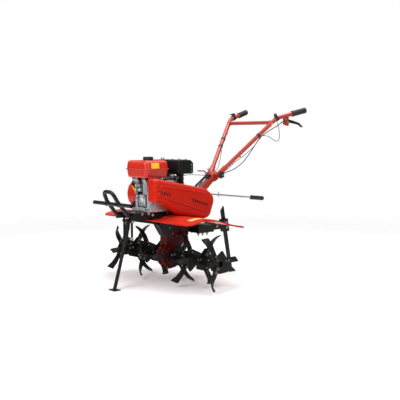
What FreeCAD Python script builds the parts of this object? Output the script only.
import FreeCAD, Part
import math
import os
import Sketcher
from types import SimpleNamespace
from FreeCAD import Placement, Rotation, Vector

# Rotary tiller with a horizontal-shaft petrol engine, in millimetres.
# +X points forward, +Y to the machine's left, +Z up. The origin is on the floor,
# under the middle of the machine. Heights that belong to the running gear are
# measured from the floor, because the tine tips, the front stand and the stake
# all come down to it.

SIZES = {
    # Tine rotor
    "rotor_ahead": 254, "rotor_height": 175.5, "tine_reach": 175, "tine_width": 33,
    "tine_thick": 7, "tine_length": 205, "tine_offset": 16, "bend_turn": 40, "bend_start": 85,
    "bend_radius": 60, "bend_angle": 70, "plate_thick": 6, "plate_corner": 84, "plate_side": 60,
    "plate_inner": 98, "plate_third": 224, "plate_second": 351, "plate_outer": 490,
    "hub_across": 44, "hub_start": 57, "hub_bore_gap": 1, "hub_bore_depth": 40,
    "shaft_radius": 16, "running_gap": 0.05, "swing_gap": 6,
    # Chain case below the frame
    "case_radius": 81, "case_half": 35, "case_rim": 9, "case_rim_thick": 3,
    "boss_radius": 64, "boss_reach": 55,
    # Frame that carries the engine
    "bed_height": 472, "bed_width": 180, "bed_depth": 42, "bed_thick": 5,
    "bed_rear": 20, "bed_front": 604,
    "strut_width": 40, "strut_wall": 5, "gusset_thick": 5,
    # Upper gearbox behind the engine
    "gearbox_front": 195, "gearbox_top": 585, "gearbox_right": 60, "cover_back": 127,
    # Engine
    "crank_ahead": 380, "crank_rise": 106, "block_front": 100, "block_rear": 100,
    "block_right": 85, "block_left": 104, "block_height": 190, "foot_thick": 9,
    "cylinder_tilt": 20, "cylinder_width": 112, "cylinder_depth": 84, "cylinder_start": 100,
    "head_end": 198, "rocker_end": 228, "fin_pitch": 9, "fin_gap": 5,
    "fan_radius": 100, "fan_depth": 62, "recoil_radius": 84, "recoil_depth": 26,
    # Fuel tank
    "tank_ahead": 420, "tank_right": 8, "tank_length": 188, "tank_width": 220,
    "tank_base": 680, "tank_seam": 735, "tank_top": 788, "tank_wall": 2, "tank_rim": 7,
    "cap_radius": 31, "cap_height": 22, "filler_radius": 20, "slip_gap": 0.5,
    # Muffler and air cleaner
    "muffler_rear": 125, "muffler_length": 126, "muffler_left": 92, "muffler_width": 112,
    "muffler_base": 698, "muffler_top": 787, "muffler_edge": 7,
    "cleaner_rear": 116, "cleaner_length": 160, "cleaner_right": 168, "cleaner_width": 128,
    "cleaner_base": 690, "cleaner_top": 786,
    # Belt cover
    "cover_depth": 67, "cover_wall": 2.5, "cover_edge": 24, "pulley_height": 513,
    "pulley_ahead": 119, "cover_rear_radius": 96, "back_thick": 3,
    # Fender
    "fender_half": 453, "fender_front": 461, "fender_rear": 1, "fender_thick": 2.5,
    "fender_crest": 444, "fender_corner": 40, "fender_lip": 9,
    "bracket_reach": 26, "bracket_thick": 4, "bracket_length": 26,
    # Handle base and handlebar
    "base_side": 38, "pivot_ahead": -133, "pivot_height": 680, "bar_radius": 14,
    "ear_gap": 1, "hub_length": 36, "hub_radius": 21, "sleeve_length": 74, "face_depth": 30,
    "clamp_bolt_radius": 6, "arm_foot_half": 38, "bend_ahead": -500, "bend_half": 230,
    "bend_height": 1062, "grip_ahead": -722, "grip_half": 294.3, "grip_height": 1119,
    "cross_share": 0.92, "arm_bend": 90, "grip_plug": 6, "sleeve_wall": 3.5,
    "base_slope": 41, "grip_length": 115, "grip_radius": 20.5, "bracket_back": 75,
    # Gear lever
    "lever_radius": 5.5, "lever_side": 34, "lever_front_height": 563, "lever_end": -453,
    "lever_end_height": 512, "lever_grip": 118, "lever_grip_radius": 15.5, "lever_pin_back": 166,
    # Hitch and stake
    "hitch_top": 355, "hitch_height": 46, "hitch_half": 98, "hitch_front": 88,
    "hitch_rear": -46, "hitch_neck": 13, "arm_half": 24, "socket_ahead": -236,
    "socket_wall": 6, "socket_height": 86,
    "socket_base": 289, "stake_lean": 10.6, "stake_depth": 28, "stake_thick": 12,
    "stake_top": 446, "stake_fit": 0.5,
    # Bumper
    "bumper_radius": 12, "hoop_half": 60, "hoop_top_half": 46, "bumper_bar_half": 198,
    "bumper_bar_ahead": 691, "bumper_bar_height": 528, "hoop_top_ahead": 724,
    "hoop_top_height": 604,
    # Front stand
    "stand_ahead": 576, "stand_pivot": 418, "hanger_half": 40, "hanger_thick": 5,
    "hanger_wide": 14, "hanger_base": 298, "stand_radius": 11, "sleeve_radius": 14,
    "stand_knee": 336, "stand_foot_ahead": 682, "foot_length": 46, "foot_width": 64,
    "foot_plate": 5, "pin_radius": 5,
    # Cables
    "cable_radius": 3, "wire_radius": 2, "cable_share": 0.45,
}

doc = FreeCAD.newDocument("RotaryTiller")
sheet = doc.addObject("Spreadsheet::Sheet", "Sizes")
for row, (name, amount) in enumerate(SIZES.items(), start=1):
    sheet.set(f"A{row}", name)
    sheet.set(f"B{row}", str(amount))
    sheet.setAlias(f"B{row}", name)
doc.recompute()
size = SimpleNamespace(**{name: float(sheet.get(name)) for name in SIZES})

parts = []
made = {}
SIDES = {"left": 1, "right": -1}


# ---------------------------------------------------------------- helpers

def keep(shape_object, label):
    """Name a finished sub-part and put it on the list that is exported."""
    shape_object.Label = label
    parts.append(shape_object)
    made[label] = shape_object
    return shape_object


def corner_arc(before, corner, after, radius):
    """Start, middle and end of the arc that rounds one corner."""
    back = (before - corner).normalize()
    ahead = (after - corner).normalize()
    half_turn = (math.pi - back.getAngle(ahead)) / 2
    cut = radius * math.tan(half_turn)
    inward = (back + ahead).normalize()
    middle = corner + inward * (radius / math.cos(half_turn) - radius)
    return corner + back * cut, middle, corner + ahead * cut


def rounded_edges(points, radii, closed):
    """Straight edges through the points, with tangent arcs at the corners."""
    points = [Vector(*point) for point in points]
    count = len(points)
    edges, ends = [], []
    for index, corner in enumerate(points):
        inner = closed or 0 < index < count - 1
        radius = radii[index] if inner else 0
        if radius > 0:
            start, middle, end = corner_arc(
                points[index - 1], corner, points[(index + 1) % count], radius)
            ends.append((start, end, Part.Arc(start, middle, end)))
        else:
            ends.append((corner, corner, None))
    for index, (start, end, arc) in enumerate(ends):
        if arc:
            edges.append(arc)
        if closed or index < count - 1:
            following = ends[(index + 1) % count][0]
            if (following - end).Length > 1e-6:
                edges.append(Part.LineSegment(end, following))
    return edges


def new_body(name):
    return doc.addObject("PartDesign::Body", name + "_body")


def sketch_on(body, plane, offset="0"):
    """An empty sketch on one of the body's own planes, moved along its normal."""
    sketch = body.newObject("Sketcher::SketchObject", "Outline")
    origin = [feature for feature in body.Origin.OriginFeatures if feature.Role == plane]
    sketch.AttachmentSupport = [(origin[0], "")]
    sketch.MapMode = "FlatFace"
    sketch.setExpression("AttachmentOffset.Base.z", offset)
    return sketch


def outline(body, plane, points, radii=None, offset="0"):
    """A closed outline of (across, up) points with rounded corners."""
    sketch = sketch_on(body, plane, offset)
    radii = radii or [0] * len(points)
    flat = [(across, up, 0) for across, up in points]
    for edge in rounded_edges(flat, radii, closed=True):
        sketch.addGeometry(edge)
    return sketch


def circle(body, plane, centre, radius, offset="0"):
    """A circle whose radius is bound to the sheet."""
    sketch = sketch_on(body, plane, offset)
    sketch.addGeometry(Part.Circle(Vector(*centre, 0), Vector(0, 0, 1), 10))
    sketch.addConstraint(Sketcher.Constraint("Radius", 0, 10))
    sketch.setExpression("Constraints[0]", radius)
    sketch.addConstraint(Sketcher.Constraint("DistanceX", -1, 1, 0, 3, centre[0]))
    sketch.addConstraint(Sketcher.Constraint("DistanceY", -1, 1, 0, 3, centre[1]))
    return sketch


def pad(body, sketch, length, side="One side", reverse=False, taper=0):
    feature = body.newObject("PartDesign::Pad", "Pad")
    feature.Profile = sketch
    feature.SideType = side
    feature.Reversed = reverse
    feature.TaperAngle = taper
    feature.setExpression("Length", length)
    return feature


def pocket(body, sketch, length, side="One side", reverse=False):
    """A pocket that must remove material."""
    doc.recompute()
    before = body.Shape.Volume
    feature = body.newObject("PartDesign::Pocket", "Pocket")
    feature.Profile = sketch
    feature.SideType = side
    feature.Reversed = reverse
    feature.setExpression("Length", length)
    doc.recompute()
    if body.Shape.Volume > before - 1:
        raise ValueError(f"{body.Name}: a pocket removes nothing")
    return feature


def edges_where(body, test):
    """Names of the body's edges whose middle point passes the test."""
    doc.recompute()
    chosen = []
    for number, edge in enumerate(body.Shape.Edges, start=1):
        middle = edge.valueAt((edge.FirstParameter + edge.LastParameter) / 2)
        if test(middle):
            chosen.append(f"Edge{number}")
    return chosen


def round_edges(body, test, radius):
    """Round the edges that pass the test."""
    names = edges_where(body, test)
    base = body.Tip
    feature = body.newObject("PartDesign::Fillet", "Fillet")
    feature.Base = (base, names)
    feature.setExpression("Radius", radius)
    return feature


def box(name, low, high):
    """A box between two corners."""
    shape = doc.addObject("Part::Box", name)
    shape.Length, shape.Width, shape.Height = [top - base for base, top in zip(low, high)]
    shape.Placement = Placement(Vector(*low), Rotation())
    return shape


def rod(name, start, end, radius):
    """A round bar between two points, its radius bound to the sheet."""
    start, end = Vector(*start), Vector(*end)
    shape = doc.addObject("Part::Cylinder", name)
    shape.setExpression("Radius", radius)
    shape.Height = (end - start).Length
    shape.Placement = Placement(start, Rotation(Vector(0, 0, 1), end - start))
    return shape


def bent_rod(name, points, radii, radius):
    """A round bar swept along straight runs and tangent arcs."""
    path = doc.addObject("Part::Feature", name + "_path")
    edges = rounded_edges(points, radii, closed=False)
    path.Shape = Part.Wire([edge.toShape() for edge in edges])
    start, towards = Vector(*points[0]), Vector(*points[1])
    ring = doc.addObject("Part::Circle", name + "_ring")
    ring.setExpression("Radius", radius)
    ring.Placement = Placement(start, Rotation(Vector(0, 0, 1), towards - start))
    sweep = doc.addObject("Part::Sweep", name)
    sweep.Sections = [ring]
    sweep.Spine = (path, [f"Edge{number}" for number in range(1, len(edges) + 1)])
    sweep.Solid = True
    return sweep


def curve_through(points):
    curve = Part.BSplineCurve()
    curve.interpolate(points)
    return curve.toShape()


def fuse(name, pieces):
    joined = doc.addObject("Part::MultiFuse", name)
    joined.Shapes = pieces
    joined.Refine = True
    return joined


def cut(name, base, tool):
    result = doc.addObject("Part::Cut", name)
    result.Base, result.Tool = base, tool
    return result


def common(name, first, second):
    result = doc.addObject("Part::Common", name)
    result.Base, result.Tool = first, second
    return result


def group(name, shapes):
    """One node that holds several like pieces as separate solids."""
    feature = doc.addObject("Part::Feature", name)
    feature.Shape = Part.Compound(shapes)
    return feature


def side_slab(body, points, radii, low, high):
    """Pad a side-view outline between two distances to the left."""
    sketch = outline(body, "XZ_Plane", points, radii, offset=f"-({low})")
    return pad(body, sketch, f"({high}) - ({low})", reverse=True)


def side_disc(body, centre, radius, low, high):
    sketch = circle(body, "XZ_Plane", centre, radius, offset=f"-({low})")
    return pad(body, sketch, f"({high}) - ({low})", reverse=True)


def side_hole(body, centre, radius, low, high):
    sketch = circle(body, "XZ_Plane", centre, radius, offset=f"-({low})")
    return pocket(body, sketch, f"({high}) - ({low})")


def side_pocket(body, points, radii, low, high):
    """Cut a side-view outline between two distances to the left."""
    sketch = outline(body, "XZ_Plane", points, radii, offset=f"-({low})")
    return pocket(body, sketch, f"({high}) - ({low})")


ROTOR = (size.rotor_ahead, size.rotor_height)
CRANK = (size.crank_ahead, size.bed_height + size.crank_rise)
PULLEY = (size.pulley_ahead, size.pulley_height)
BED_UNDER = size.bed_height - size.bed_thick
NEAR = 0.01


# ---------------------------------------------------------------- frame

def main_frame():
    """Upside-down channel that carries the engine and the gearbox."""
    body = new_body("main_frame")
    half, wall = size.bed_width / 2, size.bed_thick
    low = size.bed_height - size.bed_depth
    section = [(-half, low), (-half, size.bed_height), (half, size.bed_height), (half, low),
               (half - wall, low), (half - wall, BED_UNDER), (-half + wall, BED_UNDER),
               (-half + wall, low)]
    sketch = outline(body, "YZ_Plane", section, [0, wall, wall, 0, 0, 0, 0, 0],
                     offset="Sizes.bed_rear")
    pad(body, sketch, "Sizes.bed_front - Sizes.bed_rear")
    return keep(body, "main_frame")


def case_outline():
    """Side view of the chain case's neck, from the rotor up to the frame."""
    ahead, up = ROTOR
    return [(ahead + 50, up + 60), (ahead + 46, up + 122), (ahead + 84, up + 200),
            (ahead + 84, BED_UNDER), (ahead - 144, BED_UNDER), (ahead - 132, up + 125),
            (ahead - 104, up + 92), (ahead - 66, up + 40)]


def chain_case(side):
    """Half of the pressed chain case, with its boss, rim and shaft bore."""
    body = new_body(f"chain_case_{side}")
    sign = SIDES[side]

    def slab(make, shape, *radii, reach):
        low, high = ("0", reach) if sign > 0 else (f"-{reach}", "0")
        make(body, shape, *radii, low, high)

    neck = case_outline()
    slab(side_slab, neck, [20, 20, 12, 0, 0, 12, 20, 20], reach="Sizes.case_half")
    slab(side_disc, ROTOR, "Sizes.case_radius", reach="Sizes.case_half")
    slab(side_disc, ROTOR, "Sizes.boss_radius", reach="Sizes.boss_reach")
    slab(side_disc, ROTOR, "Sizes.case_radius + Sizes.case_rim", reach="Sizes.case_rim_thick")
    slab(side_hole, ROTOR, "Sizes.shaft_radius + Sizes.running_gap", reach="Sizes.boss_reach")
    return keep(body, f"chain_case_{side}")


def strut_line():
    """Lower side of the strut: nose, bend and foot on the chain case."""
    ahead, up = ROTOR
    nose = size.stand_ahead - size.sleeve_radius - 5
    return [(nose, up + 240), (ahead + 100, up + 203), (ahead + 44, up + 117)]


def front_strut():
    """Folded strut from the stand bracket back and down to the chain case."""
    body = new_body("front_strut")
    nose, bend, foot = strut_line()
    wall = size.strut_wall
    points = [nose, bend, foot, (foot[0] - 12, foot[1] + 30), (bend[0] - 40, BED_UNDER),
              (nose[0], BED_UNDER)]
    side_slab(body, points, [4, 15, 2, 2, 0, 0], "-Sizes.strut_width / 2", "Sizes.strut_width / 2")
    inner = [(nose[0] + 1, nose[1] + wall), (bend[0] - 2, bend[1] + wall),
             (foot[0] + 10, foot[1] + 3 * wall), (bend[0] - 50, BED_UNDER + 1),
             (nose[0] + 1, BED_UNDER + 1)]
    side_pocket(body, inner, None, "-Sizes.strut_width / 2 + Sizes.strut_wall",
                "Sizes.strut_width / 2 - Sizes.strut_wall")
    return keep(cut("strut_seated", body, chain_case_block("strut_seat")), "front_strut")


def chain_case_block(name):
    """The neck as a plain block, to seat neighbouring plates against."""
    body = new_body(name)
    side_slab(body, case_outline(), [20, 20, 12, 0, 0, 12, 20, 20], "-Sizes.case_half",
              "Sizes.case_half")
    return body


def case_gussets():
    """Triangular plates bolted on both sides of the chain case, under the frame."""
    _, bend, foot = strut_line()
    plates = []
    corners = [(bend[0] + 4, bend[1] + 30), (bend[0], bend[1] + 2), (foot[0] + 6, foot[1] + 10),
               (foot[0] - 24, foot[1] + 10), (foot[0] - 66, bend[1] + 30)]
    for side, sign in SIDES.items():
        body = new_body(f"gusset_{side}")
        low, high = ("Sizes.case_half", "Sizes.case_half + Sizes.gusset_thick")
        if sign < 0:
            low, high = f"-({high})", f"-({low})"
        side_slab(body, corners, [4, 6, 8, 8, 4], low, high)
        plates.append(body)
    doc.recompute()
    return keep(group("gusset_pair", [plate.Shape for plate in plates]), "case_gussets")


def front_bumper():
    """Bent hoop with a cross bar, welded into one piece."""
    level = BED_UNDER - size.bumper_radius
    half, top_half = size.hoop_half, size.hoop_top_half
    bar = (size.bumper_bar_ahead, size.bumper_bar_height)
    knee = size.bed_front + 14
    lift = (bar[0] + 2, bar[1] + 18)
    side = [(knee - 150, half, level), (knee, half, level), (lift[0], half - 4, lift[1]),
            (size.hoop_top_ahead, top_half, size.hoop_top_height)]
    points = side + [(across[0], -across[1], across[2]) for across in reversed(side)]
    radii = [0, 32, 30, 36, 36, 30, 32, 0]
    hoop = bent_rod("bumper_hoop", points, radii, "Sizes.bumper_radius")
    cross = rod("bumper_cross", (bar[0], -size.bumper_bar_half, bar[1]),
                (bar[0], size.bumper_bar_half, bar[1]), "Sizes.bumper_radius")
    return keep(fuse("bumper", [hoop, cross]), "front_bumper")


# ---------------------------------------------------------------- fender

def fender_line():
    """Side view of the sheet: up from the front to the crest, then down to the rear."""
    front, crest = size.fender_front, size.fender_crest
    length = front - size.fender_rear
    shares = [(0, 23), (0.13, 11), (0.28, 0), (0.4, 3), (0.5, 13), (0.61, 28), (0.72, 43),
              (0.86, 58), (1, 66)]
    return [Vector(front - share * length, 0, crest - fall) for share, fall in shares]


def fender_slab(name, drop, depth, inset):
    """The arched side view as a slab across the machine, trimmed to a rounded plan."""
    upper = curve_through([point - Vector(0, 0, drop) for point in fender_line()])
    lower = curve_through([point - Vector(0, 0, drop + depth) for point in fender_line()])
    tips = [Part.makeLine(upper.Vertexes[0].Point, lower.Vertexes[0].Point),
            Part.makeLine(upper.Vertexes[-1].Point, lower.Vertexes[-1].Point)]
    section = doc.addObject("Part::Feature", name + "_section")
    section.Shape = Part.Face(Part.Wire([upper, tips[1], lower, tips[0]]))
    slab = doc.addObject("Part::Extrusion", name + "_slab")
    slab.Base = section
    slab.DirMode = "Custom"
    slab.Dir = Vector(0, 1, 0)
    slab.Solid = True
    slab.Symmetric = True
    slab.setExpression("LengthFwd", "2 * Sizes.fender_half")
    half = size.fender_half - inset
    front, rear = size.fender_front - inset, size.fender_rear + inset
    body = new_body(name + "_plan")
    plan = outline(body, "XY_Plane", [(front, -half), (front, half), (rear, half), (rear, -half)],
                   [size.fender_corner - inset] * 4, offset="Sizes.fender_crest - 150")
    pad(body, plan, "300")
    return common(name + "_trimmed", slab, body)


def fender():
    """One arched sheet with a turned-down lip, open round the chain case and the frame."""
    thick, lip = size.fender_thick, size.fender_lip
    outer = fender_slab("fender_outer", 0, lip, 0)
    inner = fender_slab("fender_inner", thick, 2 * lip, thick)
    shell = cut("fender_shell", outer, inner)
    gap = size.slip_gap
    face = case_outline()
    top = BED_UNDER + 40
    case_gate = box("case_gate", (face[4][0] - gap, -size.case_half - gap, 200),
                    (face[3][0] + gap, size.case_half + gap, top))
    strut_gate = box("strut_gate", (face[1][0], -size.strut_width / 2 - gap, 200),
                     (size.fender_front + 10, size.strut_width / 2 + gap, top))
    gates = [case_gate, strut_gate]
    wall, half = size.bed_thick, size.bed_width / 2
    low = size.bed_height - size.bed_depth - gap
    for side, sign in SIDES.items():
        inside, outside = sorted((sign * (half - wall - gap), sign * (half + gap)))
        gates.append(box(f"frame_gate_{side}", (size.fender_rear, inside, low),
                         (size.fender_front + 10, outside, top)))
        inside, outside = sorted((sign * (size.case_half + 1),
                                  sign * (size.case_half + size.gusset_thick + gap)))
        gates.append(box(f"gusset_gate_{side}", (face[4][0], inside - 1, 200),
                         (face[3][0] + 12, outside, top)))
    return keep(cut("fender_open", shell, fuse("fender_gates", gates)), "fender")


def fender_height(ahead):
    """Height of the sheet's upper side at a forward position."""
    line = fender_line()
    for front, rear in zip(line, line[1:]):
        if rear.x <= ahead <= front.x:
            share = (front.x - ahead) / (front.x - rear.x)
            return front.z + (rear.z - front.z) * share
    raise ValueError("no sheet there")


def fender_brackets():
    """Angle brackets that carry both sides of the fender on the frame."""
    half, reach, thick = size.bed_width / 2, size.bracket_reach, size.bracket_thick
    half_long = size.bracket_length / 2
    sheet = fender_slab("bracket_space", 0, size.fender_lip, 0)
    pieces = []
    for ahead in (410, 300, 140):
        level = fender_height(ahead)
        for side, sign in SIDES.items():
            near, far = sorted((sign * half, sign * (half + reach)))
            flange = box(f"bracket_flange_{side}", (ahead - half_long, near, level - thick),
                         (ahead + half_long, far, level + 6))
            near, far = sorted((sign * half, sign * (half + thick)))
            tab = box(f"bracket_tab_{side}", (ahead - half_long, near, level),
                      (ahead + half_long, far, size.bed_height - 16))
            blank = fuse(f"bracket_blank_{side}", [flange, tab])
            pieces.append(cut(f"bracket_{side}", blank, sheet))
    doc.recompute()
    return keep(group("bracket_set", [piece.Shape for piece in pieces]), "fender_brackets")


# ---------------------------------------------------------------- gearbox and belt cover

def gearbox():
    """Upper gearbox behind the engine, on the frame, with a boss for the driven pulley."""
    body = new_body("gearbox")
    low, high = size.bed_height, size.gearbox_top
    rear = size.bed_rear
    points = [(rear, low), (size.gearbox_front, low), (size.gearbox_front, high),
              (rear + 12, high), (rear, high - 12)]
    side_slab(body, points, [4, 4, 18, 6, 6], "-Sizes.gearbox_right", "Sizes.cover_back - 22")
    side_disc(body, PULLEY, "40", "Sizes.cover_back - 23", "Sizes.cover_back")
    return keep(body, "gearbox")


def cover_outline(inset=0):
    """Side view of the belt cover: blunt front, straight top and bottom, round rear."""
    front = size.crank_ahead + 137 - inset
    top, base = CRANK[1] + 101 - inset, CRANK[1] - 36 + inset
    ahead, up = PULLEY
    radius = size.cover_rear_radius - inset
    points = [(front, base), (front, top), (front - 26, top + 3),
              (ahead - 24, up + radius - 3), (ahead - radius - 3, up + 35),
              (ahead - 53, up - radius + 7), (ahead + 1, up - radius - 5),
              (size.crank_ahead - 54, base - 88), (size.crank_ahead + 66, base - 14)]
    return points, [14, 14, 14, 100, 60, 45, 80, 120, 120]


def belt_cover():
    """Deep drawn cover over the belt and its pulleys, open at the back."""
    body = new_body("belt_cover")
    back, face = "Sizes.cover_back + Sizes.back_thick", "Sizes.cover_back + Sizes.cover_depth"
    points, radii = cover_outline()
    side_slab(body, points, radii, back, face)
    outer = size.cover_back + size.cover_depth
    round_edges(body, lambda middle: middle.y > outer - NEAR, "Sizes.cover_edge")
    points, radii = cover_outline(size.cover_wall)
    radii = [max(radius - size.cover_wall, 2) for radius in radii]
    side_pocket(body, points, radii, back, face + " - Sizes.cover_edge")
    return keep(body, "belt_cover")


def belt_cover_back():
    """Flat plate that closes the belt cover on the machine's side."""
    body = new_body("belt_cover_back")
    points, radii = cover_outline()
    side_slab(body, points, radii, "Sizes.cover_back", "Sizes.cover_back + Sizes.back_thick")
    return keep(body, "belt_cover_back")


# ---------------------------------------------------------------- engine

def engine_block():
    """Crankcase with its foot and the boss that carries the output shaft."""
    body = new_body("engine_block")
    ahead, low = size.crank_ahead, size.bed_height
    front, rear = ahead + size.block_front, ahead - size.block_rear
    top = low + size.block_height
    points = [(rear, low), (front, low), (front, low + 120), (front - 34, top), (rear + 20, top),
              (rear, top - 30)]
    side_slab(body, points, [6, 6, 26, 22, 14, 14], "-Sizes.block_right", "Sizes.block_left")
    foot = [(rear - 12, low), (front + 14, low), (front + 14, low + size.foot_thick),
            (rear - 12, low + size.foot_thick)]
    side_slab(body, foot, [0, 0, 3, 3], "-Sizes.block_right + 4", "Sizes.block_left - 12")
    side_disc(body, CRANK, "54", "Sizes.block_left - 1", "Sizes.cover_back")
    return keep(body, "engine_block")


def tilted(shape):
    """Turn a piece drawn straight behind the crank up to the cylinder's tilt."""
    centre = Vector(CRANK[0], 0, CRANK[1])
    turn = Placement(Vector(), Rotation(Vector(0, 1, 0), size.cylinder_tilt), centre)
    shape.Placement = turn.multiply(shape.Placement)
    return shape


def behind_crank(name, start, end, half, depth):
    """A box behind the crank, centred on the cylinder line."""
    ahead, up = CRANK
    return box(name, (ahead - end, -half, up - depth / 2), (ahead - start, half, up + depth / 2))


def engine_cylinder():
    """Finned cylinder barrel and head, tilted back from the crankcase."""
    half, depth = size.cylinder_width / 2, size.cylinder_depth
    base = behind_crank("barrel", size.cylinder_start - 18, size.head_end, half, depth)
    slots = []
    place = size.cylinder_start + 2 * size.fin_pitch
    while place < size.head_end - size.fin_pitch:
        slots.append(behind_crank("slot", place, place + size.fin_gap, half + 1, depth + 2))
        place += size.fin_pitch
    core = behind_crank("core", size.cylinder_start - 1, size.head_end + 1, half - 16, depth - 32)
    grooves = cut("grooves", fuse("slots", slots), core)
    finned = tilted(cut("finned_cylinder", base, grooves))
    return keep(cut("seated_cylinder", finned, made["engine_block"]), "engine_cylinder")


def rocker_cover():
    body = new_body("rocker_cover")
    ahead, up = CRANK
    start, end = ahead - size.head_end, ahead - size.rocker_end
    half = size.cylinder_depth / 2
    points = [(end, up - half + 12), (start, up - half + 6), (start, up + half - 6),
              (end, up + half - 12)]
    side_slab(body, points, [9, 2, 2, 9], "-38", "38")
    return keep(tilted(body), "rocker_cover")


def fan_housing():
    """Round blower housing on the machine's right, with its duct towards the cylinder."""
    body = new_body("fan_housing")
    ahead, up = CRANK
    radius = size.fan_radius
    inner, outer = "-Sizes.block_right", "-Sizes.block_right - Sizes.fan_depth"
    side_disc(body, (ahead, up - 4), "Sizes.fan_radius", outer, inner)
    duct = [(ahead, up + radius - 6), (ahead - 30, up - radius + 12), (ahead - 130, up - 6),
            (ahead - 128, up + radius + 4)]
    side_slab(body, duct, [10, 10, 16, 16], outer, inner)
    round_edges(body, lambda middle: middle.y < -size.block_right - size.fan_depth + NEAR, "8")
    return keep(body, "fan_housing")


def recoil_starter():
    """Dished starter cover on the blower housing."""
    body = new_body("recoil_starter")
    face = "-Sizes.block_right - Sizes.fan_depth"
    side_disc(body, (CRANK[0], CRANK[1] - 4), "Sizes.recoil_radius", face + " - Sizes.recoil_depth",
              face)
    outer = -size.block_right - size.fan_depth - size.recoil_depth
    round_edges(body, lambda middle: middle.y < outer + NEAR, "15")
    return keep(body, "recoil_starter")


def recoil_handle():
    """Starter grip at rest against the upper rear of the starter cover."""
    body = new_body("recoil_handle")
    ahead, up = CRANK[0] - 22, CRANK[1] + 34
    face = "-Sizes.block_right - Sizes.fan_depth - Sizes.recoil_depth"
    points = [(ahead - 24, up - 7), (ahead + 24, up - 7), (ahead + 20, up + 7), (ahead - 20, up + 7)]
    side_slab(body, points, [5, 5, 6, 6], face + " - 16", face)
    return keep(body, "recoil_handle")


def tank_block(name, inset):
    """Fuel tank as a block, each wall moved in by the inset."""
    body = new_body(name)
    half_long = size.tank_length / 2 - inset
    half_wide = size.tank_width / 2 - inset
    ahead, side = size.tank_ahead, -size.tank_right
    corners = [(ahead - half_long, side - half_wide), (ahead + half_long, side - half_wide),
               (ahead + half_long, side + half_wide), (ahead - half_long, side + half_wide)]
    radii = [34 - inset] * 4
    lower = outline(body, "XY_Plane", corners, radii, offset="Sizes.tank_seam")
    pad(body, lower, f"Sizes.tank_seam - Sizes.tank_base - {inset}", reverse=True, taper=-9)
    upper = outline(body, "XY_Plane", corners, radii, offset="Sizes.tank_seam")
    pad(body, upper, f"Sizes.tank_top - Sizes.tank_seam - {inset}", taper=-5)
    return body


def fuel_tank():
    """Pressed steel tank in two halves with a seam flange and a filler hole."""
    outer = tank_block("tank_outer", 0)
    top = size.tank_top
    round_edges(outer, lambda middle: middle.z > top - NEAR, "22")
    base = size.tank_base
    round_edges(outer, lambda middle: middle.z < base + NEAR, "14")
    rim = size.tank_rim
    half_long, half_wide = size.tank_length / 2 + rim, size.tank_width / 2 + rim
    ahead, side = size.tank_ahead, -size.tank_right
    flange_body = new_body("tank_flange")
    flange = outline(flange_body, "XY_Plane",
                     [(ahead - half_long, side - half_wide), (ahead + half_long, side - half_wide),
                      (ahead + half_long, side + half_wide), (ahead - half_long, side + half_wide)],
                     [34 + rim] * 4, offset="Sizes.tank_seam - 2")
    pad(flange_body, flange, "4")
    inner = tank_block("tank_inner", size.tank_wall)
    round_edges(inner, lambda middle: middle.z > top - size.tank_wall - NEAR, "21")
    round_edges(inner, lambda middle: middle.z < base + size.tank_wall + NEAR, "13")
    filler = rod("filler_hole", (ahead, 0, size.tank_seam), (ahead, 0, size.tank_top + 5),
                 "Sizes.filler_radius")
    hollow = cut("tank_hollow", fuse("tank_shell", [outer, flange_body]),
                 fuse("tank_space", [inner, filler]))
    return keep(hollow, "fuel_tank")


def fuel_cap():
    """Screw cap with a plug that drops into the filler hole."""
    body = new_body("fuel_cap")
    centre = (size.tank_ahead, 0)
    disc = circle(body, "XY_Plane", centre, "Sizes.cap_radius", offset="Sizes.tank_top")
    pad(body, disc, "Sizes.cap_height")
    plug = circle(body, "XY_Plane", centre, "Sizes.filler_radius - Sizes.slip_gap",
                  offset="Sizes.tank_top")
    pad(body, plug, "12", reverse=True)
    top = size.tank_top + size.cap_height
    round_edges(body, lambda middle: middle.z > top - NEAR, "4")
    return keep(body, "fuel_cap")


def tank_mounts():
    """Two bent brackets that hold the tank above the crankcase."""
    low, high = size.bed_height + size.block_height, size.tank_base
    ahead = size.tank_ahead
    posts = [box(f"tank_post_{side}", (ahead - 60, sign * 40 - 12, low),
                 (ahead + 10, sign * 40 + 12, high))
             for side, sign in SIDES.items()]
    doc.recompute()
    return keep(group("tank_posts", [post.Shape for post in posts]), "tank_mounts")


def muffler():
    """Box muffler with a bevelled rear edge, behind the tank on the left."""
    body = new_body("muffler")
    rear, front = size.muffler_rear, size.muffler_rear + size.muffler_length
    low, high = size.muffler_base, size.muffler_top
    points = [(rear, low), (front, low), (front, high), (rear + 22, high), (rear, high - 20)]
    side_slab(body, points, [12, 12, 12, 8, 8], "Sizes.muffler_left - Sizes.muffler_width",
              "Sizes.muffler_left")
    left, right = size.muffler_left, size.muffler_left - size.muffler_width
    round_edges(body, lambda middle: middle.y > left - NEAR or middle.y < right + NEAR,
                "Sizes.muffler_edge")
    return keep(body, "muffler")


def exhaust_elbow():
    """Pipe from the side of the cylinder head up into the muffler's base."""
    half = size.cylinder_width / 2
    side, low = half + 17, CRANK[1] + 70
    ahead = size.muffler_rear + 84
    pipe = bent_rod("elbow_pipe", [(ahead, half - 8, low), (ahead, side, low),
                                   (ahead, side, size.muffler_base)], [0, 14, 0], "12")
    flange = box("elbow_flange", (ahead - 20, half - 8, low - 18), (ahead + 20, half + 6, low + 18))
    head = tilted(behind_crank("elbow_seat", 0, size.rocker_end, half, size.cylinder_depth))
    return keep(cut("elbow", fuse("elbow_joined", [pipe, flange]), head), "exhaust_elbow")


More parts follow.
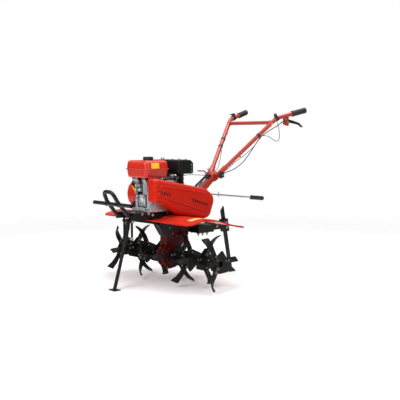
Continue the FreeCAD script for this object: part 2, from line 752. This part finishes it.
def air_cleaner():
    """Air cleaner case behind the tank on the right."""
    body = new_body("air_cleaner")
    rear, front = size.cleaner_rear, size.cleaner_rear + size.cleaner_length
    low, high = size.cleaner_base, size.cleaner_top
    points = [(rear, low), (front, low), (front, high), (rear, high)]
    side_slab(body, points, [10, 10, 16, 16], "-Sizes.cleaner_right",
              "Sizes.cleaner_width - Sizes.cleaner_right")
    return keep(body, "air_cleaner")


def carburettor():
    """Carburettor between the cylinder head and the air cleaner."""
    low = CRANK[1] + 50
    ahead = size.cleaner_rear + 84
    side = -size.cylinder_width / 2
    pieces = [box("carburettor_block", (ahead - 28, side - 44, low), (ahead + 28, side, low + 46)),
              rod("intake_neck", (ahead, side - 28, low + 40), (ahead, side - 28, size.cleaner_base),
                  "20"),
              rod("float_bowl", (ahead, side - 26, low - 24), (ahead, side - 26, low + 2), "19")]
    return keep(fuse("carburettor_joined", pieces), "carburettor")


# ---------------------------------------------------------------- handle base and gear lever

PIVOT = (size.pivot_ahead, size.pivot_height)
HUB_START = size.base_side / 2 + size.ear_gap
HUB_END = HUB_START + size.hub_length


def handle_base():
    """Square tube that rises from the gearbox's rear face to the handlebar's pivot."""
    body = new_body("handle_base")
    half = size.base_side / 2
    ahead, up = PIVOT
    rear = size.bed_rear
    slope = math.radians(size.base_slope)
    along = Vector(-math.cos(slope), math.sin(slope), 0)
    across = Vector(math.sin(slope), math.cos(slope), 0) * half
    foot = up - (rear - ahead) * math.tan(slope)
    reach = half / math.cos(slope)
    tip = Vector(ahead, up, 0) + along * (half + 3)
    flange = 8
    points = [(rear, foot + reach), (rear, foot - reach - 22), (rear - flange, foot - reach - 22),
              (rear - flange, foot - reach + flange * math.tan(slope)),
              (tip.x - across.x, tip.y - across.y), (tip.x + across.x, tip.y + across.y)]
    side_slab(body, points, [0, 0, 3, 6, 14, 14], "-Sizes.base_side / 2", "Sizes.base_side / 2")
    side_hole(body, PIVOT, "Sizes.clamp_bolt_radius", "-Sizes.base_side / 2 - 1",
              "Sizes.base_side / 2 + 1")
    return keep(body, "handle_base")


def clamp_knob():
    """Clamp bolt through the pivot, with a star knob on the left end."""
    ahead, up = PIVOT
    reach = HUB_END + 1
    bolt = rod("clamp_bolt", (ahead, -reach - 10, up), (ahead, reach + 12, up),
               "Sizes.clamp_bolt_radius")
    pieces = [bolt, rod("knob_collar", (ahead, reach, up), (ahead, reach + 9, up), "11"),
              rod("knob_core", (ahead, reach + 9, up), (ahead, reach + 27, up), "16")]
    for number in range(5):
        angle = math.radians(72 * number)
        spot = (ahead + 17 * math.cos(angle), up + 17 * math.sin(angle))
        pieces.append(rod("knob_lobe", (spot[0], reach + 11, spot[1]),
                          (spot[0], reach + 25, spot[1]), "7"))
    return keep(fuse("knob_joined", pieces), "clamp_knob")


def clamp_lever():
    """Cam lever on the clamp bolt's right end."""
    ahead, up = PIVOT
    side = -HUB_END
    hub = rod("lever_hub", (ahead, side - 13, up), (ahead, side - 1, up), "12")
    arm = bent_rod("lever_arm", [(ahead + 4, side - 8, up + 4), (ahead + 34, side - 8, up + 24),
                                 (ahead + 84, side - 12, up + 26)], [0, 18, 0], "5")
    joined = fuse("clamp_lever_joined", [hub, arm])
    hole = rod("clamp_lever_hole", (ahead, side - 20, up), (ahead, side + 2, up),
               "Sizes.clamp_bolt_radius")
    return keep(cut("clamp_lever_cut", joined, hole), "clamp_lever")


def lever_line():
    """Both ends of the gear lever's steel rod, and its direction."""
    start = Vector(size.bed_rear, size.lever_side, size.lever_front_height)
    end = Vector(size.lever_end, size.lever_side, size.lever_end_height)
    return start, end, (end - start).normalize()


def gear_lever():
    """Long steel selector rod that comes out of the gearbox's rear face."""
    start, end, line = lever_line()
    shaft = rod("lever_shaft", start - line * 4, end, "Sizes.lever_radius")
    spot = start + line * size.lever_pin_back
    catch = rod("lever_pin", spot - Vector(0, 0, 16), spot + Vector(0, 0, 22), "2.5")
    joined = fuse("gear_lever_joined", [shaft, catch])
    return keep(cut("gear_lever_seated", joined, made["gearbox"]), "gear_lever")


def gear_lever_grip():
    _, end, line = lever_line()
    grip_bar = rod("lever_grip_bar", end, end + line * size.lever_grip, "Sizes.lever_grip_radius")
    return keep(grip_bar, "gear_lever_grip")


# ---------------------------------------------------------------- handlebar

def arm_points(sign):
    return [Vector(size.pivot_ahead, sign * size.arm_foot_half, size.pivot_height),
            Vector(size.bend_ahead, sign * size.bend_half, size.bend_height),
            Vector(size.grip_ahead, sign * size.grip_half, size.grip_height)]


def handlebar():
    """Two bent arms, their pivot hubs and the cross tube, welded into one piece."""
    pieces = []
    ahead, up = PIVOT
    for side, sign in SIDES.items():
        foot, bend, end = arm_points(sign)
        line = (end - bend).normalize()
        points = [foot, bend, end - line * size.grip_plug]
        pieces.append(bent_rod(f"arm_{side}", points, [0, size.arm_bend, 0], "Sizes.bar_radius"))
        pieces.append(rod(f"hub_{side}", (ahead, sign * HUB_START, up), (ahead, sign * HUB_END, up),
                          "Sizes.hub_radius"))
        rise = (bend - foot).normalize()
        pieces.append(rod(f"sleeve_{side}", foot, foot + rise * size.sleeve_length,
                          "Sizes.bar_radius + Sizes.sleeve_wall"))
    foot, bend, _ = arm_points(1)
    cross = foot + (bend - foot) * size.cross_share
    pieces.append(rod("cross_tube", (cross.x, -cross.y, cross.z), (cross.x, cross.y, cross.z),
                      "Sizes.bar_radius - 1"))
    bores = [rod("pivot_bore", (ahead, -HUB_END - 10, up), (ahead, HUB_END + 10, up),
                 "Sizes.clamp_bolt_radius + Sizes.running_gap")]
    for side, sign in SIDES.items():
        bores.append(rod(f"hub_face_{side}", (ahead, sign * HUB_END, up),
                         (ahead, sign * (HUB_END + size.face_depth), up), "Sizes.hub_radius + 1"))
    return keep(cut("handlebar_bored", fuse("handlebar_joined", pieces),
                    fuse("handlebar_bores", bores)), "handlebar")


def grip(side):
    """Rubber grip pushed over the end of an arm."""
    _, bend, end = arm_points(SIDES[side])
    line = (end - bend).normalize()
    outer = rod(f"grip_outer_{side}", end - line * size.grip_length, end, "Sizes.grip_radius")
    inner = rod(f"grip_inner_{side}", end - line * (size.grip_length + 1),
                end - line * size.grip_plug, "Sizes.bar_radius")
    return keep(cut(f"grip_cut_{side}", outer, inner), f"grip_{side}")


def left_grip_place(back):
    """A point on the left arm's upper run, at a distance behind the bend."""
    _, bend, end = arm_points(1)
    return bend + (end - bend).normalize() * back


def clutch_bracket():
    """Welded plate under the left arm that holds the clutch lever."""
    spot = left_grip_place(size.bracket_back)
    body = new_body("clutch_bracket")
    up = spot.z - size.bar_radius
    points = [(spot.x - 22, up + 4), (spot.x + 20, up - 2), (spot.x + 20, up - 48),
              (spot.x - 22, up - 58)]
    side_slab(body, points, [0, 0, 6, 6], f"{spot.y - 8}", f"{spot.y + 8}")
    return keep(cut("clutch_bracket_cut", body, made["handlebar"]), "clutch_bracket")


def clutch_lever():
    """Hand lever that hangs below the left grip."""
    spot = left_grip_place(size.bracket_back)
    up = spot.z - size.bar_radius
    body = new_body("clutch_lever")
    front = spot.x - 22
    points = [(front, up - 12), (front, up - 36), (front - 40, up - 38), (front - 96, up - 46),
              (front - 136, up - 66), (front - 142, up - 60), (front - 104, up - 34),
              (front - 44, up - 20)]
    side = spot.y + 4
    side_slab(body, points, [0, 0, 20, 30, 2, 2, 30, 20], f"{side - 6}", f"{side + 6}")
    return keep(body, "clutch_lever")


def throttle_lever():
    """Thumb lever and its clamp on the right arm."""
    _, bend, end = arm_points(-1)
    line = (end - bend).normalize()
    spot = bend + line * 44
    clamp = rod("throttle_clamp", spot - line * 11, spot + line * 11, "Sizes.bar_radius + 5")
    drum = rod("throttle_drum", spot + Vector(0, 0, 10), spot + Vector(0, 0, 31), "14")
    blade = box("throttle_blade", (spot.x - 6, spot.y - 34, spot.z + 24),
                (spot.x + 6, spot.y + 6, spot.z + 28))
    joined = fuse("throttle_joined", [clamp, drum, blade])
    return keep(cut("throttle_cut", joined, made["handlebar"]), "throttle_lever")


def stop_switch():
    """Round switch clamped on the left arm at the bend."""
    foot, bend, end = arm_points(1)
    middle = corner_arc(foot, bend, end, size.arm_bend)[1]
    line = (end - foot).normalize()
    clamp = rod("switch_clamp", middle - line * 11, middle + line * 11, "Sizes.bar_radius + 4")
    out = Vector(0.62, 0.12, 0.78)
    knob = rod("switch_knob", middle + out * 8, middle + out * 36, "11")
    joined = fuse("switch_joined", [clamp, knob])
    return keep(cut("switch_cut", joined, made["handlebar"]), "stop_switch")


# ---------------------------------------------------------------- hitch and stake

def hitch_box():
    """Folded rear crossmember, open below, on a short neck behind the chain case."""
    top = size.hitch_top
    rear, front = size.hitch_rear, size.hitch_front
    low = top - size.hitch_height
    wall = 5
    body = new_body("hitch_box")
    points = [(rear, low), (front, low), (front, top), (rear, top)]
    side_slab(body, points, [wall, 0, 0, wall], "-Sizes.hitch_half", "Sizes.hitch_half")
    space = box("hitch_space", (rear + wall, -size.hitch_half + wall, low - 1),
                (front - wall, size.hitch_half - wall, top - wall))
    neck = box("hitch_neck", (front - 1, -size.hitch_neck, low + 3),
               (front + 60, size.hitch_neck, top - 3))
    neck_end = cut("hitch_neck_seated", neck, chain_case_block("neck_seat"))
    return keep(fuse("hitch_joined", [cut("hitch_open", body, space), neck_end]), "hitch_box")


def stake_centre(up):
    """Forward position of the stake's centre line at a height."""
    return size.socket_ahead + (up - size.socket_base) * math.tan(math.radians(size.stake_lean))


def hitch_arm():
    """Arm from the crossmember to the leaning socket that holds the stake."""
    low, top = size.hitch_top - size.hitch_height, size.hitch_top
    base = size.socket_base
    half_deep = size.stake_depth / 2 + size.stake_fit
    half_thick = size.stake_thick / 2 + size.stake_fit
    arm = box("arm_bar", (stake_centre((low + top) / 2), -size.arm_half, low),
              (size.hitch_rear, size.arm_half, top))
    half_long = half_deep + size.socket_wall
    leaning = Placement(Vector(stake_centre(base), 0, base), Rotation(Vector(0, 1, 0), size.stake_lean))
    socket = box("arm_socket", (-half_long, -size.arm_half, 0),
                 (half_long, size.arm_half, size.socket_height))
    slot = box("arm_slot", (-half_deep, -half_thick, -400), (half_deep, half_thick, 400))
    for piece in (socket, slot):
        piece.Placement = leaning.multiply(piece.Placement)
    return keep(cut("arm_slotted", fuse("arm_joined", [arm, socket]), slot), "hitch_arm")


def drag_stake():
    """Flat depth bar that reaches the floor, with an oblique top and a small heel."""
    lean = math.tan(math.radians(size.stake_lean))
    half = size.stake_depth / 2 / math.cos(math.radians(size.stake_lean))
    top = size.stake_top
    foot = stake_centre(0)
    points = [(foot + half, 0), (stake_centre(top - 16) + half, top - 16),
              (stake_centre(top + 16) - half, top + 16), (foot - half + 34 * lean, 34),
              (foot - half - 26, 8), (foot - half - 26, 0)]
    body = new_body("drag_stake")
    side_slab(body, points, None, "-Sizes.stake_thick / 2", "Sizes.stake_thick / 2")
    return keep(body, "drag_stake")


# ---------------------------------------------------------------- front stand

def stand_line():
    """The stand's centre line: pivot, knee and the top of the foot plate."""
    knee_ahead = size.stand_ahead + 10
    return [(size.stand_ahead, 0, size.stand_pivot), (knee_ahead, 0, size.stand_knee),
            (size.stand_foot_ahead, 0, size.foot_plate / 2)]


def stand_bracket():
    """Two hangers under the frame, with the pivot pin and the stop bolt."""
    pieces = []
    ahead = size.stand_ahead + 1
    half = size.hanger_wide / 2
    for side, sign in SIDES.items():
        inner = sign * (size.hanger_half - size.hanger_thick / 2)
        outer = sign * (size.hanger_half + size.hanger_thick / 2)
        low, high = min(inner, outer), max(inner, outer)
        pieces.append(box(f"hanger_{side}", (ahead - half, low, size.hanger_base),
                          (ahead + half, high, BED_UNDER)))
    reach = size.hanger_half + size.hanger_thick / 2 + 5
    pieces.append(rod("stand_pin", (size.stand_ahead, -reach, size.stand_pivot),
                      (size.stand_ahead, reach, size.stand_pivot), "Sizes.pin_radius"))
    pivot, knee, foot = [Vector(*point) for point in stand_line()]
    up = size.hanger_base + 14
    share = (knee.z - up) / (knee.z - foot.z)
    centre = knee.x + (foot.x - knee.x) * share
    line = (foot - knee).normalize()
    stop = centre - (size.stand_radius + size.pin_radius + 0.4) / abs(line.z)
    pieces.append(rod("stand_stop", (stop, -reach, up), (stop, reach, up), "Sizes.pin_radius"))
    return keep(fuse("stand_bracket_joined", pieces), "stand_bracket")


def front_stand():
    """Bent stand tube with an upper sleeve, a pivot eye and a foot plate."""
    points = stand_line()
    pivot, knee, foot = [Vector(*point) for point in points]
    tube = bent_rod("stand_tube", points, [0, 120, 0], "Sizes.stand_radius")
    line = (knee - pivot).normalize()
    sleeve = rod("stand_sleeve", pivot, pivot + line * 56, "Sizes.sleeve_radius")
    eye = rod("stand_eye", (pivot.x, -size.sleeve_radius, pivot.z),
              (pivot.x, size.sleeve_radius, pivot.z), "Sizes.sleeve_radius")
    half_long, half_wide = size.foot_length / 2, size.foot_width / 2
    plate = box("stand_plate", (foot.x - half_long, -half_wide, 0),
                (foot.x + half_long, half_wide, size.foot_plate))
    under = box("stand_under", (foot.x - 60, -60, -60), (foot.x + 60, 60, 0))
    hole = rod("stand_hole", (pivot.x, -30, pivot.z), (pivot.x, 30, pivot.z),
               "Sizes.pin_radius + Sizes.running_gap")
    joined = fuse("stand_joined", [tube, sleeve, eye, plate])
    return keep(cut("stand_cut", joined, fuse("stand_tools", [under, hole])), "front_stand")


# ---------------------------------------------------------------- control cables

# Points that each cable follows, from its control to its end.
CLUTCH_UPPER = [(-531, 249, 1033), (-508, 240, 1014), (-462, 213, 984), (-430, 192, 958),
                (-399, 172, 931), (-372, 160, 888), (-348, 146, 846), (-322, 128, 800),
                (-293, 109, 757), (-251, 88, 722), (-205, 68, 700), (-172, 51, 692)]
SWITCH_UPPER = [(-500, 230, 1044), (-522, 229, 1004), (-533, 225, 962), (-543, 219, 924),
                (-529, 210, 900), (-500, 202, 913), (-466, 192, 937), (-430, 182, 945),
                (-403, 173, 937), (-387, 164, 905), (-361, 149, 866), (-329, 131, 833),
                (-297, 116, 805), (-262, 100, 780), (-225, 81, 749), (-200, 60, 713),
                (-172, 48, 697)]
THROTTLE_UPPER = [(-541, -260, 1066), (-500, -246, 1052), (-463, -227, 1022), (-428, -205, 985),
                  (-387, -192, 943), (-350, -169, 906), (-334, -152, 871), (-321, -128, 844),
                  (-292, -106, 800), (-262, -86, 760), (-236, -68, 726), (-205, -58, 704),
                  (-172, -51, 692)]
THROTTLE_LOWER = [(-84, -5, 674), (-40, -4, 679), (10, -8, 683), (61, -26, 686), (104, -58, 677),
                  (142, -78, 664), (176, -80, 652)]
CLUTCH_LOWER = [(-84, 7, 673), (-50, 8, 664), (-14, 9, 637), (14, 10, 608), (34, 11, 580)]


def control_cable(name, route, radius, neighbours):
    """A cable as straight runs joined by arcs as large as the runs allow."""
    points = [Vector(*point) for point in route]
    radii = [0]
    for before, corner, after in zip(points, points[1:], points[2:]):
        arriving, leaving = corner - before, after - corner
        turn = arriving.getAngle(leaving)
        shorter = min(arriving.Length, leaving.Length)
        radii.append(size.cable_share * shorter / math.tan(turn / 2))
    tube = bent_rod(f"{name}_tube", points, radii + [0], radius)
    print(f"{name}: radii", [round(radius) for radius in radii[1:]])
    return keep(cut(f"{name}_fitted", tube, fuse(f"{name}_seats", neighbours)), name)


def cable_anchors():
    """Guides on the pivot hubs, one on the handle's base, and the clutch cable's adjuster."""
    ahead, up = PIVOT
    back = ahead - size.hub_radius
    blocks = []
    for side, sign in SIDES.items():
        near, far = sorted((sign * (HUB_END - 14), sign * HUB_END))
        block = box(f"guide_{side}", (back - 24, near, up + 2), (back + 4, far, up + 34))
        blocks.append(cut(f"guide_{side}_seated", block, made["handlebar"]))
    start, next_point = (Vector(*point) for point in CLUTCH_UPPER[:2])
    line = (next_point - start).normalize()
    barrel = rod("adjuster", start - line * 26, start + line * 4, "4.5")
    blocks.append(cut("adjuster_seated", barrel, made["clutch_bracket"]))
    doc.recompute()
    keep(group("guide_set", [block.Shape for block in blocks]), "cable_guides")
    place = ahead + 48
    base = box("base_guide_block", (place - 11, -13, up - 36), (place + 11, 15, up + 3))
    return keep(cut("base_guide_seated", base, made["handle_base"]), "base_cable_guide")


def cable_clips():
    """Clips that strap the cables to the arms."""
    clips = []
    for side, sign, share in (("left", 1, 0.69), ("right", -1, 0.62), ("right", -1, 0.49)):
        foot, bend, _ = arm_points(sign)
        line = (bend - foot).normalize()
        spot = foot + (bend - foot) * share
        strap = rod(f"strap_{side}", spot - line * 8, spot + line * 8, "Sizes.bar_radius + 2")
        clips.append(cut(f"strap_cut_{side}", strap, made["handlebar"]))
    doc.recompute()
    return keep(group("clip_set", [clip.Shape for clip in clips]), "cable_clips")


def control_cables():
    thick, thin = "Sizes.cable_radius", "Sizes.wire_radius"
    held = [made["handlebar"], made["cable_clips"], made["cable_guides"]]
    control_cable("clutch_cable_upper", CLUTCH_UPPER, thick, held)
    control_cable("switch_wire", SWITCH_UPPER, thin,
                  held + [made["stop_switch"], made["clutch_cable_upper"]])
    control_cable("throttle_cable_upper", THROTTLE_UPPER, thin, held + [made["throttle_lever"]])
    control_cable("throttle_cable_lower", THROTTLE_LOWER, thin,
                  [made["base_cable_guide"], made["carburettor"]])
    control_cable("clutch_cable_lower", CLUTCH_LOWER, thick,
                  [made["base_cable_guide"], made["gearbox"]])


# ---------------------------------------------------------------- tine rotor

# The tines of each plate: the angle they point at, from forwards towards up, the side
# their end is bent to (1 is left) and the side of the plate's spoke they lean to.
TINE_PLAN = {
    "left": {"outer": ((64, -1, 1), (180, -1, 1), (300, 1, -1)),
             "second": ((0, -1, -1), (120, 1, 1), (240, -1, -1)),
             "third": ((66, -1, -1), (186, 1, -1), (304, -1, -1)),
             "inner": ((0, -1, -1), (120, -1, -1), (240, 1, -1))},
    "right": {"outer": ((60, 1, 1), (180, 1, 1), (302, -1, -1)),
              "second": ((-4, -1, -1), (116, 1, 1), (238, 1, -1)),
              "third": ((66, -1, -1), (184, 1, -1), (300, 1, -1)),
              "inner": ((0, 1, -1), (120, 1, -1), (240, -1, -1))},
}

# The angle of each plate's first long corner.
PLATE_TURN = {"outer": 100, "second": 92, "third": 40, "inner": 92}
PLATE_PLACE = {"outer": size.plate_outer, "second": size.plate_second,
               "third": size.plate_third, "inner": size.plate_inner}
TINES = 3
HUB_REACH = size.plate_outer + size.plate_thick / 2


def rotor_shaft():
    """Steel shaft through the chain case, inside both hub tubes."""
    end = HUB_REACH - size.hub_bore_depth
    ahead, up = ROTOR
    shaft = rod("rotor_shaft_bar", (ahead, -end, up), (ahead, end, up), "Sizes.shaft_radius")
    return keep(shaft, "rotor_shaft")


def ring_of_points(centre, reaches, turn):
    """Corners evenly spread round a centre, at the given distances in turn."""
    corners = []
    for number, reach in enumerate(reaches):
        angle = math.radians(turn + 360 * number / len(reaches))
        corners.append((centre[0] + reach * math.cos(angle), centre[1] + reach * math.sin(angle)))
    return corners


def rotor_hub(side):
    """Hexagonal tube with four welded three-cornered tine plates."""
    body = new_body(f"rotor_hub_{side}")
    sign = SIDES[side]

    def span(low, high):
        return (low, high) if sign > 0 else (f"-({high})", f"-({low})")

    end = "(Sizes.plate_outer + Sizes.plate_thick / 2)"
    flat = size.hub_across / math.sqrt(3)
    side_slab(body, ring_of_points(ROTOR, [flat] * 6, 0), [3] * 6, *span("Sizes.hub_start", end))
    for name, turn in PLATE_TURN.items():
        place = f"Sizes.plate_{name}"
        corners = ring_of_points(ROTOR, [size.plate_corner, size.plate_side] * TINES, turn)
        side_slab(body, corners, [10, 16] * TINES,
                  *span(f"{place} - Sizes.plate_thick / 2", f"{place} + Sizes.plate_thick / 2"))
    side_hole(body, ROTOR, "Sizes.shaft_radius", *span("Sizes.hub_start - 1", f"{end} + 1"))
    side_hole(body, ROTOR, "Sizes.shaft_radius + Sizes.hub_bore_gap",
              *span(f"{end} - Sizes.hub_bore_depth", f"{end} + 1"))
    return keep(body, f"rotor_hub_{side}")


def bent_place(across, along):
    """Side-view place of a point of the flat bar, once its end has been bent."""
    turn = math.radians(size.bend_turn)
    line = along * math.sin(turn) - across * math.cos(turn)
    past = across * math.sin(turn) + along * math.cos(turn)
    start, radius = size.bend_start, size.bend_radius
    if past > start:
        angle = min((past - start) / radius, math.radians(size.bend_angle))
        rest = past - start - angle * radius
        past = start + radius * math.sin(angle) + rest * math.cos(angle)
    return (past * math.sin(turn) - line * math.cos(turn),
            past * math.cos(turn) + line * math.sin(turn))


def tine_blade():
    """One tine pointing up: a flat bar whose end is bent to the left along a slanted line."""
    thick, start, radius = size.tine_thick, size.bend_start, size.bend_radius
    angle = math.radians(size.bend_angle)
    corner = start + radius * math.tan(angle / 2)
    tail = size.tine_reach
    side, rise = tail * math.sin(angle), tail * math.cos(angle)
    strip = new_body("tine_strip")
    bent = [(0, -tail), (0, corner), (side, corner + rise),
            (side + thick * math.cos(angle), corner + rise - thick * math.sin(angle)),
            (thick, corner - thick * math.tan(angle / 2)), (thick, -tail)]
    sketch = outline(strip, "YZ_Plane", bent, [0, radius, 0, 0, radius - thick, 0])
    pad(strip, sketch, "600", side="Symmetric")
    doc.recompute()
    sheet = strip.Shape.copy()
    sheet.Placement = Placement(Vector(), Rotation(Vector(0, 1, 0), size.bend_turn))
    offset, half = size.tine_offset, size.tine_width / 2
    root, end = size.hub_across / 2 + 5, size.tine_length
    steps = [root] + [root + (end - root) * share for share in (0.3, 0.45, 0.6, 0.75, 0.88, 1)]
    edge = [bent_place(offset + half, along) for along in steps]
    back = [bent_place(offset - half, along) for along in reversed(steps)]
    plan = new_body("tine_plan")
    points = edge + back
    side_slab(plan, points, [0] * len(points), "-60", "200")
    limit = rod("tine_limit", (0, -60, 0), (0, 200, 0), "Sizes.tine_reach")
    doc.recompute()
    flat = group("tine_sheet", [sheet])
    return common("tine_blade", common("tine_shape", flat, plan), limit)


def tine_set(blade, side, name):
    """Three tines on one plate, each against a face of the plate."""
    ahead, up = ROTOR
    half = size.case_half + size.gusset_thick + size.swing_gap
    space = rod("case_space", (ahead, -half, up), (ahead, half, up), "Sizes.tine_reach + 10")
    doc.recompute()
    tines = []
    for points_at, bent_to, leans_to in TINE_PLAN[side][name]:
        tine = blade.copy()
        if bent_to < 0:
            tine = tine.mirror(Vector(), Vector(0, 1, 0))
        if leans_to < 0:
            tine = tine.mirror(Vector(), Vector(1, 0, 0))
        face = SIDES[side] * PLATE_PLACE[name] + bent_to * size.plate_thick / 2
        turned = Rotation(Vector(0, 1, 0), 90 - points_at)
        moved = Placement(Vector(ahead, face, up), turned)
        tine.Placement = moved.multiply(tine.Placement)
        tines.append(tine.cut(space.Shape))
    return keep(group(f"tines_{name}_{side}", tines), f"tines_{name}_{side}")


# ---------------------------------------------------------------- build and export

def build():
    main_frame()
    chain_case("left")
    chain_case("right")
    front_strut()
    case_gussets()
    front_bumper()
    fender()
    fender_brackets()
    gearbox()
    belt_cover()
    belt_cover_back()
    engine_block()
    engine_cylinder()
    rocker_cover()
    fan_housing()
    recoil_starter()
    recoil_handle()
    fuel_tank()
    fuel_cap()
    tank_mounts()
    muffler()
    exhaust_elbow()
    air_cleaner()
    carburettor()
    handle_base()
    clamp_knob()
    clamp_lever()
    gear_lever()
    gear_lever_grip()
    handlebar()
    grip("left")
    grip("right")
    clutch_bracket()
    clutch_lever()
    throttle_lever()
    stop_switch()
    cable_clips()
    cable_anchors()
    control_cables()
    hitch_box()
    hitch_arm()
    drag_stake()
    stand_bracket()
    front_stand()
    rotor_shaft()
    rotor_hub("left")
    rotor_hub("right")
    blade = tine_blade()
    doc.recompute()
    for side in SIDES:
        for name in PLATE_TURN:
            tine_set(blade.Shape, side, name)


def check_and_export():
    doc.recompute()
    failed = [item.Name for item in doc.Objects
              if "Invalid" in item.State or "Error" in item.State]
    if failed:
        raise ValueError(f"failed objects: {failed}")
    for part in parts:
        if part.Shape.isNull() or not part.Shape.isValid():
            raise ValueError(f"{part.Label}: its shape isn't valid")
    os.makedirs("parts", exist_ok=True)
    for part in parts:
        part.Shape.exportStep(f"parts/{part.Label}.step")
        bounds = part.Shape.BoundBox
        print(f"{part.Label:22s} solids {len(part.Shape.Solids)}  "
              f"x {bounds.XMin:7.1f} {bounds.XMax:7.1f}  y {bounds.YMin:7.1f} {bounds.YMax:7.1f}  "
              f"z {bounds.ZMin:7.1f} {bounds.ZMax:7.1f}")
    whole = Part.Compound([part.Shape for part in parts]).BoundBox
    print(f"whole: x {whole.XMin:.1f} {whole.XMax:.1f}  y {whole.YMin:.1f} {whole.YMax:.1f}  "
          f"z {whole.ZMin:.1f} {whole.ZMax:.1f}")


build()
check_and_export()
